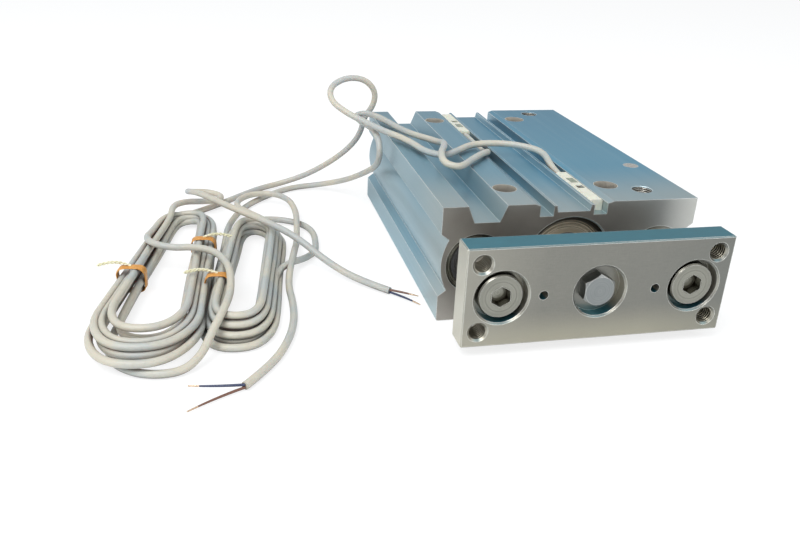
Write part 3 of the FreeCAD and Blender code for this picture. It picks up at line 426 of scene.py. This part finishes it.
# A stray turn of the rear coil that lies out to the right of it.
REAR_LOOP = [
    (-127, -33, 4.6), (-119.5, -24, 5.4), (-111, -15, 3), (-104, -4, 1.9), (-102.5, 9, 1.9),
    (-102, 23, 1.9), (-106, 35, 1.9), (-116, 42, 2.4), (-128, 41, 4), (-140, 34, 5),
]
FRONT_TAIL = [
    (-177.5, 46, 12.2), (-171, 55, 11), (-162, 61, 8.6), (-152.5, 66.5, 6.6), (-150, 77.5, 5.8),
    (-158.5, 85.5, 6), (-168.5, 79.5, 8.4), (-170.5, 67, 13), (-164, 52, 17.5), (-154, 35.5, 18),
    (-142, 18, 18), (-129, 1.5, 17.8), (-115, -13, 14.6), (-102, -28, 7), (-88.5, -42, 2.4),
    (-75, -55, 1.9),
]
REAR_TAIL = [
    (-139, 37, 11), (-142.5, 51, 8.2), (-141.5, 66, 7), (-132, 77.5, 6.6),
    (-119.5, 77, 6.4), (-112, 65, 6.8), (-110, 50, 7.2), (-110, 34, 7), (-111.5, 20, 3.6),
    (-113, 6, 2.6), (-115, -6, 5.4), (-117, -18, 6.8), (-120, -30, 4.4), (-122, -44, 1.9),
    (-121.5, -60.5, 1.9), (-122.5, -78, 1.9), (-126.5, -95, 1.9), (-134.5, -113, 1.9),
    (-146, -127, 1.9),
]
WIRES = {
    "front_lead_brown": [(-75, -55, 2.4), (-68.5, -59.5, 2.6), (-62.5, -61.5, 1.4)],
    "front_lead_blue": [(-75, -55, 1.2), (-68, -62, 1), (-63.5, -69, 0.8)],
    "rear_lead_blue": [(-146, -127, 2.4), (-156, -127, 2.6), (-167, -123, 1.4)],
    "rear_lead_brown": [(-146, -127, 1.2), (-157, -132, 1), (-167, -139, 0.8)],
}
# Each coil: its far and near centres.
FRONT_RING = ((-169.5, 36), (-184, -86))
REAR_RING = ((-134, 16), (-146.5, -80))
# Each turn: the far and near radius, the far and near height, and its reach past the near centre.
FRONT_WIND = [(14.5, 22.5, 1.9, 6.2, 7), (11, 19, 1.9, 6.2, 4), (13, 21, 8.7, 15, 0)]
FRONT_REWIND = [
    (7.5, 15, 1.9, 1.9, 0), (7.5, 13, 5.3, 5.3, -6), (11, 18.5, 5.3, 9.4, -1),
    (14.5, 21.5, 5.3, 9.4, 1), (9.2, 15.5, 8.7, 12, -5),
]
REAR_WIND = [
    (14.8, 15.5, 1.9, 1.9, 5), (11.3, 12, 1.9, 1.9, 3), (13, 13.3, 5, 5, 2),
    (7.8, 8.6, 1.9, 1.9, 0), (9.5, 9.8, 5, 5, 0), (7.8, 8.3, 8.1, 8.1, 0),
    (11.3, 11.8, 8.1, 8.1, 0), (9.5, 9.9, 11.2, 11.2, -1),
]


def lap(share):
    """The number of the turn at a share; it goes on to the next only round the far end."""
    return math.floor(share) + max(0, (share % 1 * COIL_STEPS - FAR_END) / END_STEPS)


def ring_point(ring, share, far_radius, near_radius, far_high, near_high, reach):
    """A point on one turn of a coil; share 0 to 1 goes down its left side and up its right."""
    far, near = Vector(ring[0]), Vector(ring[1])
    line = (near - far).normalized()
    near = near + line * reach
    left = Vector((line.y, -line.x))
    step = share % 1 * COIL_STEPS
    if step <= LIMB_STEPS:
        along, angle = step / LIMB_STEPS, 0.0
    elif step <= HALF_TURN:
        along, angle = 1.0, (step - LIMB_STEPS) / END_STEPS * math.pi
    elif step <= FAR_END:
        along, angle = 1 - (step - HALF_TURN) / LIMB_STEPS, math.pi
    else:
        along, angle = 0.0, (1 + (step - FAR_END) / END_STEPS) * math.pi
    radius = far_radius + (near_radius - far_radius) * along
    bend = (left * math.cos(angle) + line * math.sin(angle)) * radius
    spot = far + (near - far) * along + bend
    return Vector((spot.x, spot.y, far_high + (near_high - far_high) * along))


def wind(ring, turns, start, end):
    """Control points of a coil's turns from one share to another, clockwise where end is less."""
    points = []
    sense = 1 if end > start else -1
    for number in range(round(abs(end - start) * COIL_STEPS) + 1):
        share = start + sense * number / COIL_STEPS
        gone = abs(lap(share) - lap(start))
        turn = min(int(gone), len(turns) - 2)
        sizes = [a + (b - a) * (gone - turn) for a, b in zip(turns[turn], turns[turn + 1])]
        wander = Vector((chance.uniform(-0.4, 0.4), chance.uniform(-0.4, 0.4), 0))
        points.append(tuple(ring_point(ring, share, *sizes) + wander))
    return points


def strand(name, points, size, material, taper=None):
    """A smooth round strand along its control points."""
    curve = bpy.data.curves.new(name, "CURVE")
    curve.dimensions = "3D"
    curve.resolution_u = 8
    curve.bevel_depth = size / 2 * MM
    curve.bevel_resolution = 5
    curve.use_fill_caps = True
    spline = curve.splines.new("NURBS")
    spline.points.add(len(points) - 1)
    for spot, point in zip(spline.points, points):
        spot.co = (*(part * MM for part in point), 1)
    if taper:
        spline.points[-1].radius = taper
    spline.order_u = 3
    spline.use_endpoint_u = True
    curve.materials.append(material)
    made = bpy.data.objects.new(name, curve)
    bpy.context.collection.objects.link(made)
    return made


def lead(name, points, jacket):
    """A whole lead as one strand."""
    made = strand(name, points, LEAD_SIZE, jacket)
    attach(made, "housing")
    return made


def tie(name, ring, turns, side, along, material):
    """A flat tie pulled round one limb of a coil; gives it, its top and its direction across."""
    down = LIMB_STEPS * along
    share = (down if side < 0 else FAR_END - down) / COIL_STEPS
    strands = [ring_point(ring, share, *turn) for turn in turns]
    far, near = Vector(ring[0]), Vector(ring[1])
    line = (near - far).normalized()
    across = Vector((line.y, -line.x)) * -side
    spread = [(spot.xy - far).dot(across) for spot in strands]
    middle = far + line * ((near - far).length * along)
    middle = middle + across * (min(spread) + max(spread)) / 2
    half = (max(spread) - min(spread)) / 2 + LEAD_SIZE / 2 + 0.4
    height = max(spot.z for spot in strands) + LEAD_SIZE / 2 + 0.2
    shell = bmesh.new()
    around, widths = 40, (-2.6, -2.1, -0.7, 0.7, 2.1, 2.6)
    rings = []
    for number, width in enumerate(widths):
        row = []
        for turn in range(around):
            angle = 2 * math.pi * turn / around
            bulge = 0.0 if 0 < number < len(widths) - 1 else -0.15
            flat = abs(math.cos(angle)) ** 0.45 * (1 if math.cos(angle) > 0 else -1)
            tall = abs(math.sin(angle)) ** 0.55 * (1 if math.sin(angle) > 0 else -1)
            wave = 0.22 * math.sin(5 * angle + 1.3 * number) + bulge
            sideways = across * flat * (half + wave)
            slip = line * (width * (1 + 0.12 * math.sin(3 * angle)) + 0.8 * tall)
            spot = middle + sideways + slip
            level = 0.3 + height * (1 + tall) / 2
            row.append(shell.verts.new((spot.x * MM, spot.y * MM, level * MM)))
        rings.append(row)
    for first, second in zip(rings, rings[1:]):
        for turn in range(around):
            after = (turn + 1) % around
            shell.faces.new((first[turn], first[after], second[after], second[turn]))
    bmesh.ops.recalc_face_normals(shell, faces=shell.faces)
    mesh = bpy.data.meshes.new(name + "_band")
    shell.to_mesh(mesh)
    shell.free()
    for face in mesh.polygons:
        face.use_smooth = True
    mesh.materials.append(material)
    made = bpy.data.objects.new(name + "_band", mesh)
    bpy.context.collection.objects.link(made)
    thick = made.modifiers.new("thickness", "SOLIDIFY")
    thick.thickness = 0.45 * MM
    thick.offset = 0
    smooth = made.modifiers.new("smooth", "SUBSURF")
    smooth.levels = smooth.render_levels = 1
    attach(made, "housing")
    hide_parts(name)
    return made, Vector((middle.x, middle.y, height)), Vector((across.x, across.y, 0))


def twisted_ends(name, spot, heading, material):
    """The two ends of a tie, twisted together."""
    length, turns, steps = 15, 4, 26
    strands = []
    up = Vector((0, 0, 1))
    side = heading.cross(up)
    for number in range(2):
        points = []
        for step in range(steps + 1):
            share = step / steps
            angle = 2 * math.pi * turns * share + math.pi * number
            spread = 0.5 * (0.4 + 0.6 * min(1, 3 * share))
            hump = up * (0.6 + 1.6 * math.sin(math.pi * share))
            middle = spot + heading * (length * share) + hump
            turned = side * (spread * math.cos(angle)) + up * (spread * math.sin(angle))
            points.append(tuple(middle + turned))
        made = strand(f"{name}_end_{number + 1}", points, 0.75, material)
        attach(made, "housing")
        strands.append(made)
    return strands


# ---------------------------------------------------------------- the studio


def lay_floor():
    reach = 4
    corners = [(-reach, -reach, 0), (reach, -reach, 0), (reach, reach, 0), (-reach, reach, 0)]
    mesh = bpy.data.meshes.new("floor")
    mesh.from_pydata(corners, [], [(0, 1, 2, 3)])
    floor = bpy.data.objects.new("floor", mesh)
    floor.location.z = -0.0002
    bpy.context.collection.objects.link(floor)
    look = Finish("floor_white")
    plain = look.node("BsdfDiffuse")
    look.put(plain.inputs["Color"], (0.86, 0.87, 0.88, 1))
    glow = look.node("Emission")
    look.put(glow.inputs["Strength"], 1.12)
    share = look.calc("MULTIPLY", look.node("LightPath").outputs["Is Camera Ray"], 0.68)
    blended = look.blend(share, plain.outputs[0], glow.outputs[0])
    look.put(look.tree.nodes["Material Output"].inputs["Surface"], blended)
    mesh.materials.append(look.material)


def light_world():
    world = bpy.data.worlds.new("studio")
    bpy.context.scene.world = world
    world.use_nodes = True
    look = Nodes(world.node_tree)
    sky = look.tree.nodes["Background"]
    look.put(sky.inputs["Color"], (0.95, 0.98, 1, 1))
    look.put(sky.inputs["Strength"], 0.62)
    white = look.node("Background")
    look.put(white.inputs["Color"], (1, 1, 1, 1))
    look.put(white.inputs["Strength"], 1.0)
    # Metal sees a pale studio that is dimmer to the right.
    rightward = look.axes(look.node("TexCoord").outputs["Generated"])[0]
    mirror = look.node("Background")
    look.put(mirror.inputs["Strength"], look.fit(rightward, -0.5, 0.9, 1.0, 0.55))
    seen = look.node("LightPath").outputs
    metal = look.blend(seen["Is Glossy Ray"], sky.outputs[0], mirror.outputs[0])
    clear = look.calc("MAXIMUM", seen["Is Camera Ray"], seen["Is Transmission Ray"])
    mixed = look.blend(clear, metal, white.outputs[0])
    look.put(look.tree.nodes["World Output"].inputs["Surface"], mixed)


def hang_lamps():
    for name, spot, power, size in (
        ("key", (-0.7, -0.6, 1.2), 16, 0.9),
        ("fill", (0.9, -0.9, 0.8), 5, 1.2),
    ):
        lamp = bpy.data.lights.new(name, "AREA")
        lamp.energy = power
        lamp.size = size
        thing = bpy.data.objects.new(name, lamp)
        thing.location = spot
        aim = -Vector(spot)
        thing.rotation_mode = "QUATERNION"
        thing.rotation_quaternion = aim.to_track_quat("-Z", "Y")
        bpy.context.collection.objects.link(thing)


def camera():
    data = bpy.data.cameras.new("camera")
    data.lens = 35.69
    data.sensor_width = 36
    made = bpy.data.objects.new("camera", data)
    turned = Matrix(
        (
            (0.97504, 0.05325, -0.21555),
            (-0.21809, 0.41171, -0.88484),
            (0.04163, 0.90976, 0.41304),
        )
    )
    made.matrix_world = Matrix.Translation((-0.15111, -0.38571, 0.16870)) @ turned.to_4x4()
    bpy.context.collection.objects.link(made)
    bpy.context.scene.camera = made


# ---------------------------------------------------------------- the model

GUIDE_BUSHES = (
    "front_guide_bush_left", "front_guide_bush_right",
    "inner_guide_bush_left", "inner_guide_bush_right",
)
GUIDE_HEADS = ("guide_bolt_left", "guide_bolt_right", "guide_ring_left", "guide_ring_right")
# Each metal: its name, the node it is turned round, its dark and light colours, its roughness,
# what else sets it apart, and the nodes that it is on.
METALS = (
    ("bolt_steel", "guide_bolt_left", (0.20, 0.197, 0.17), (0.33, 0.325, 0.28), 0.24,
     {"socket_shade": 3.5}, ("piston_bolt", *GUIDE_HEADS)),
    ("rod_bolt_steel", "rod_bolt", (0.22, 0.235, 0.235), (0.31, 0.325, 0.32), 0.3,
     {}, ("rod_bolt",)),
    ("guide_rod_steel", "guide_rod_left", (0.36, 0.35, 0.33), (0.52, 0.51, 0.48), 0.2,
     {}, ("guide_rod_left", "guide_rod_right")),
    ("piston_rod_chrome", "piston_rod", (0.55, 0.55, 0.56), (0.72, 0.72, 0.73), 0.08,
     {}, ("piston_rod",)),
    ("cover_metal", "head_cover", (0.56, 0.48, 0.34), (0.85, 0.76, 0.60), 0.2,
     {"metallic": 0.65}, ("head_cover", "rear_cover")),
    ("piston_metal", "piston", (0.42, 0.43, 0.44), (0.60, 0.61, 0.62), 0.25,
     {}, ("piston",)),
    ("spring_steel", "head_cover", (0.11, 0.10, 0.085), (0.22, 0.20, 0.17), 0.28,
     {}, ("head_retaining_ring", "rear_retaining_ring")),
    ("bush_metal", "guide_rod_left", (0.38, 0.27, 0.12), (0.55, 0.42, 0.22), 0.3,
     {}, ("rod_bush", *GUIDE_BUSHES)),
    ("plug_metal", "passage_plug", (0.55, 0.54, 0.50), (0.80, 0.79, 0.75), 0.22,
     {}, ("passage_plug",)),
    ("black_screw", "front_switch_screw", (0.015, 0.015, 0.015), (0.035, 0.034, 0.032), 0.35,
     {"glint": (0.12, 0.12, 0.11)}, ("front_switch_screw", "rear_switch_screw")),
)


def dress_metal():
    dress("cylinder_body", anodised())
    dress("end_plate", ground_plate())
    for name, axis, dark, light, rough, more, nodes in METALS:
        metal = turned_metal(name, axis, dark, light, rough, **more)
        for node in nodes:
            dress(node, metal)


def dress_soft():
    seal = rubber("seal_rubber", (0.018, 0.018, 0.018))
    for node in (
        "head_cover_oring", "rear_cover_oring", "rod_seal", "piston_seal",
        "guide_wiper_left", "guide_wiper_right",
    ):
        dress(node, seal)
    bumper = rubber("bumper_rubber", (0.07, 0.06, 0.05))
    dress("front_bumper", bumper)
    dress("rear_bumper", bumper)
    dress("piston_magnet", moulded("magnet", (0.05, 0.05, 0.055), (0.09, 0.09, 0.09), 0.5))
    dress("piston_wear_ring", moulded("wear_band", (0.42, 0.28, 0.13), (0.55, 0.40, 0.22), 0.4))
    window = clear_window()
    for end, x, sense in (("front", SWITCH_X, 1), ("rear", -SWITCH_X, -1)):
        low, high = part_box(end + "_switch_case")
        closed_end = (low.y if sense > 0 else high.y) / MM
        dress(end + "_switch_case", switch_plastic(end + "_switch_case", x, closed_end, sense))
        dress(end + "_switch_window", window)


def dress_leads():
    jacket = cable_jacket()
    orange = tie_plastic()
    yellow = moulded("tie_ends", (0.74, 0.71, 0.48), (0.82, 0.79, 0.60), 0.4)
    front = lead(
        "front_cord",
        FRONT_LEAD
        + wind(FRONT_RING, FRONT_WIND, 0, 2 + 1 / 16)
        + FRONT_ARCH
        + wind(FRONT_RING, FRONT_REWIND, 4 / 16, -4)
        + FRONT_TAIL,
        jacket,
    )
    rear = lead(
        "rear_cord",
        REAR_LEAD
        + wind(REAR_RING, REAR_WIND, 1 / 16, 1 + 9 / 16)
        + REAR_LOOP
        + wind(REAR_RING, REAR_WIND[2:], 2, 7 + 13 / 16)
        + REAR_TAIL,
        jacket,
    )
    pieces = {"front": [], "rear": []}
    colours = {"brown": (0.13, 0.06, 0.04), "blue": (0.025, 0.035, 0.08)}
    for name, points in WIRES.items():
        end, _, colour = name.split("_")
        vinyl = core_vinyl(name + "_vinyl", colours[colour], points[-1], 4.5)
        made = strand(name + "_wire", points, CORE_SIZE, vinyl, taper=0.5)
        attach(made, "housing")
        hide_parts(name)
        pieces[end].append(made)
    for name, end, ring, turns, side, along in (
        ("front_coil_tie_left", "front", FRONT_RING, FRONT_WIND[:2] + FRONT_REWIND, -1, 0.6),
        ("front_coil_tie_right", "front", FRONT_RING, FRONT_WIND[:2] + FRONT_REWIND, 1, 0.3),
        ("rear_coil_tie", "rear", REAR_RING, REAR_WIND, -1, 0.7),
    ):
        band, top, heading = tie(name, ring, turns, side, along, orange)
        ends = twisted_ends(name, top, heading, yellow)
        pieces[end] += [band, *ends]
    for made, end, route in ((front, "front", FRONT_LEAD), (rear, "rear", REAR_LEAD)):
        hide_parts(end + "_lead", end + "_lead_coil", end + "_lead_tail")


camera()
lay_floor()
light_world()
hang_lamps()
dress_metal()
dress_soft()
dress_leads()

bpy.context.scene.view_settings.view_transform = "Standard"
